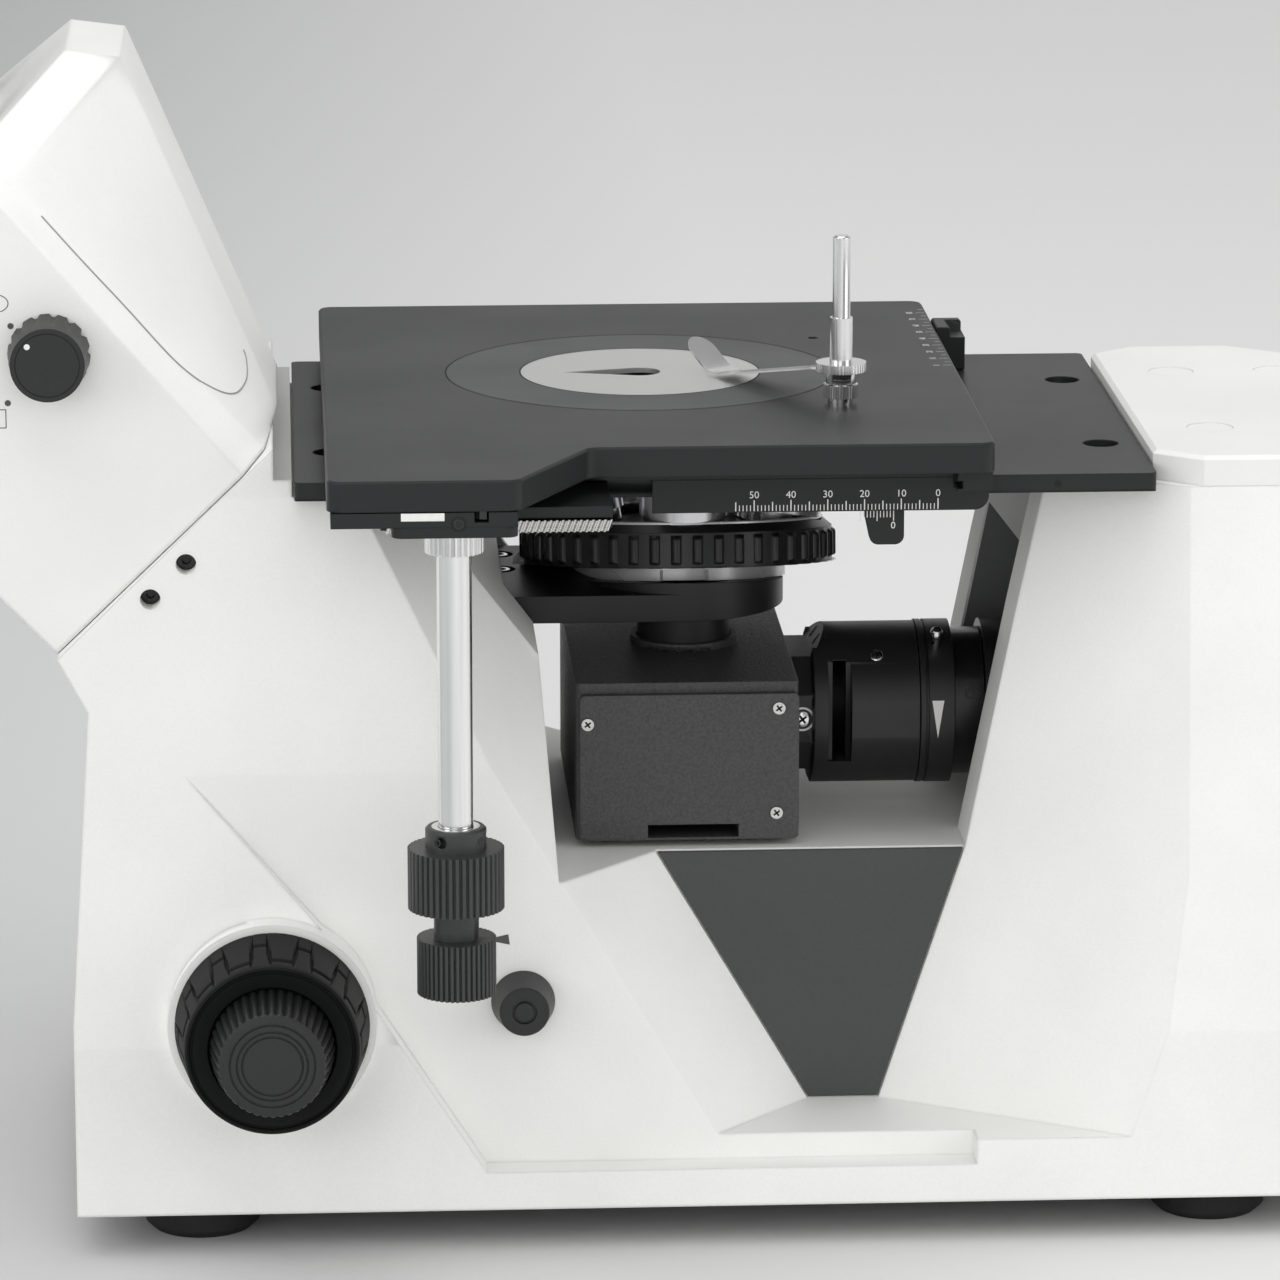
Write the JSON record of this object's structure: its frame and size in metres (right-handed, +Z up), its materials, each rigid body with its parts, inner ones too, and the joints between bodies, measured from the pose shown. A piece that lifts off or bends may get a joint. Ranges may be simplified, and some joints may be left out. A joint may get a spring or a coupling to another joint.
{
  "type": "inverted microscope",
  "caption": "Inverted reflected-light microscope with a gliding mechanical stage, tilted nosepiece below it, rear illuminator, side focus knobs and an inclined binocular head.",
  "frame": {"origin": "bottom centre of the bounding box, on the bench", "axes": "+Z up, -X towards the user and the eyepieces, -Y the side with the low stage drive"},
  "size_m": [0.5966, 0.288, 0.3959],
  "materials": {
    "white_paint": "fine textured warm white powder coat",
    "white_plastic": "smooth matte",
    "dark_panel": "satin dark grey",
    "stage_black": "dark grey anodised, satin",
    "crinkle_black": "fine crinkle coat",
    "gloss_black": "smooth black",
    "knob_black": "satin moulded",
    "steel": "polished and satin steel",
    "objective_chrome": "satin chrome",
    "aluminium": "machined",
    "optical_glass": "coated",
    "mirror_glass": "front silvered",
    "rubber": "matte",
    "board": "circuit board"
  },
  "bodies": {
    "root": {"stage_base_plate": "stage_black", "body_screws": "steel", "x_vernier_tab": "stage_black", "rack_tongue": "stage_black", "x_rack": "steel", "body_casting": "white_paint", "side_panels": "dark_panel", "bottom_plate": "stage_black", "rubber_feet": "rubber", "column_cap": "white_paint", "cap_plugs": "white_plastic", "focus_guide": "aluminium", "splitter_box": "crinkle_black", "splitter_cover": "crinkle_black", "cover_screws": "steel", "mirrors": "mirror_glass", "optic_mounts": "aluminium", "illuminator_body": "gloss_black", "illuminator_tube": "gloss_black", "lenses": "optical_glass", "lamp_house": "crinkle_black", "lamp": "optical_glass", "power_panel": "knob_black", "power_supply": "board", "head_housing": "white_paint", "head_hinge_plate": "white_paint"},
    "stage_x": {"slide_plate": "stage_black", "y_guide_rail": "stage_black", "x_scale_bar": "stage_black", "y_vernier_block": "stage_black", "drive_bracket": "stage_black"},
    "stage_y": {"stage_top_plate": "stage_black", "y_rack": "steel", "insert_ring": "stage_black", "insert_disc": "steel", "clip_post": "steel"},
    "clip": {"clip_arm": "steel"},
    "x_drive": {"x_drive_shaft": "steel", "x_drive_knob": "knob_black"},
    "y_drive": {"y_drive_knob": "knob_black"},
    "focus": {"focus_slide": "aluminium", "nosepiece_bracket": "gloss_black", "turret_flange": "steel"},
    "nosepiece": {"turret": "gloss_black", "objectives": "objective_chrome"},
    "coarse_focus": {"coarse_knobs": "knob_black"},
    "fine_focus": {"fine_knobs": "knob_black"},
    "tension": {"tension_ring": "knob_black"},
    "brightness": {"brightness_knob": "knob_black"},
    "power_rocker": {"power_switch": "knob_black"},
    "path_selector": {"light_path_knob": "knob_black"},
    "field_stop": {"field_stop_ring": "gloss_black"},
    "aperture_stop": {"aperture_ring": "gloss_black"},
    "eye_near": {"eye_arm_near": "gloss_black", "eyepiece_near": "gloss_black", "eyecup_near": "rubber"},
    "eye_far": {"eye_arm_far": "gloss_black", "eyepiece_far": "gloss_black", "eyecup_far": "rubber"},
    "diopter": {"diopter_ring": "gloss_black"}
  },
  "joints": [
    {"name": "stage_x_slide", "type": "slide", "parent": "root", "child": "stage_x", "axis": [1, 0, 0], "range_m": [-0.0118, 0.0382]},
    {"name": "stage_y_slide", "type": "slide", "parent": "stage_x", "child": "stage_y", "axis": [0, 1, 0], "range_m": [-0.035, 0.015]},
    {"name": "clip_swing", "type": "hinge", "parent": "stage_y", "child": "clip", "pos_m": [0.04081, -0.047, 0.228], "axis": [0, 0, 1], "range_deg": [-90, 100]},
    {"name": "x_drive_turn", "type": "hinge", "parent": "stage_x", "child": "x_drive", "pos_m": [-0.06859, -0.128, 0.168], "axis": [0, 0, 1], "range_deg": [-93, 298]},
    {"name": "y_drive_turn", "type": "hinge", "parent": "stage_x", "child": "y_drive", "pos_m": [-0.06859, -0.128, 0.168], "axis": [0, 0, 1], "range_deg": [-424, 182]},
    {"name": "focus_travel", "type": "slide", "parent": "root", "child": "focus", "axis": [0, 0, 1], "range_m": [-0.0035, 0.0025]},
    {"name": "nosepiece_turn", "type": "hinge", "parent": "focus", "child": "nosepiece", "pos_m": [0.00031, 0.027, 0.167], "axis": [0, 0.1685, 0.9857], "continuous": true},
    {"name": "coarse_turn", "type": "hinge", "parent": "root", "child": "coarse_focus", "pos_m": [-0.11829, 0, 0.067], "axis": [0, 1, 0], "range_deg": [-34, 24.5]},
    {"name": "fine_turn", "type": "hinge", "parent": "root", "child": "fine_focus", "pos_m": [-0.11829, 0, 0.067], "axis": [0, 1, 0], "continuous": true},
    {"name": "tension_turn", "type": "hinge", "parent": "root", "child": "tension", "pos_m": [-0.11829, 0.103, 0.067], "axis": [0, 1, 0], "range_deg": [0, 60]},
    {"name": "brightness_turn", "type": "hinge", "parent": "root", "child": "brightness", "pos_m": [-0.04929, -0.09, 0.0693], "axis": [0, -1, 0], "range_deg": [0, 270]},
    {"name": "rocker_tilt", "type": "hinge", "parent": "root", "child": "power_rocker", "pos_m": [0.20831, 0.016, 0.044], "axis": [0, -1, 0], "range_deg": [0, 10]},
    {"name": "path_turn", "type": "hinge", "parent": "root", "child": "path_selector", "pos_m": [-0.17585, -0.078, 0.25], "axis": [0, -1, 0], "range_deg": [0, 90]},
    {"name": "field_stop_turn", "type": "hinge", "parent": "root", "child": "field_stop", "pos_m": [0.07131, 0, 0.131], "axis": [1, 0, 0], "range_deg": [-25, 25]},
    {"name": "aperture_turn", "type": "hinge", "parent": "root", "child": "aperture_stop", "pos_m": [0.08931, 0, 0.131], "axis": [1, 0, 0], "range_deg": [-25, 25]},
    {"name": "eye_near_swing", "type": "hinge", "parent": "root", "child": "eye_near", "pos_m": [-0.13991, 0, 0.20053], "axis": [-0.6909, 0, 0.723], "range_deg": [-20, 10]},
    {"name": "eye_far_swing", "type": "hinge", "parent": "root", "child": "eye_far", "pos_m": [-0.13991, 0, 0.20053], "axis": [-0.6909, 0, 0.723], "range_deg": [-10, 20]},
    {"name": "diopter_turn", "type": "hinge", "parent": "eye_near", "child": "diopter", "pos_m": [-0.12454, -0.0315, 0.21521], "axis": [-0.6909, 0, 0.723], "range_deg": [-80, 80]}
  ],
  "couplings": [
    {"joint": "x_drive_turn", "follows": "stage_x_slide", "rad_per_m": 135.19},
    {"joint": "y_drive_turn", "follows": "stage_y_slide", "rad_per_m": 211.34},
    {"joint": "coarse_turn", "follows": "focus_travel", "rad_per_m": 166.66},
    {"joint": "eye_far_swing", "follows": "eye_near_swing", "ratio": -1}
  ]
}
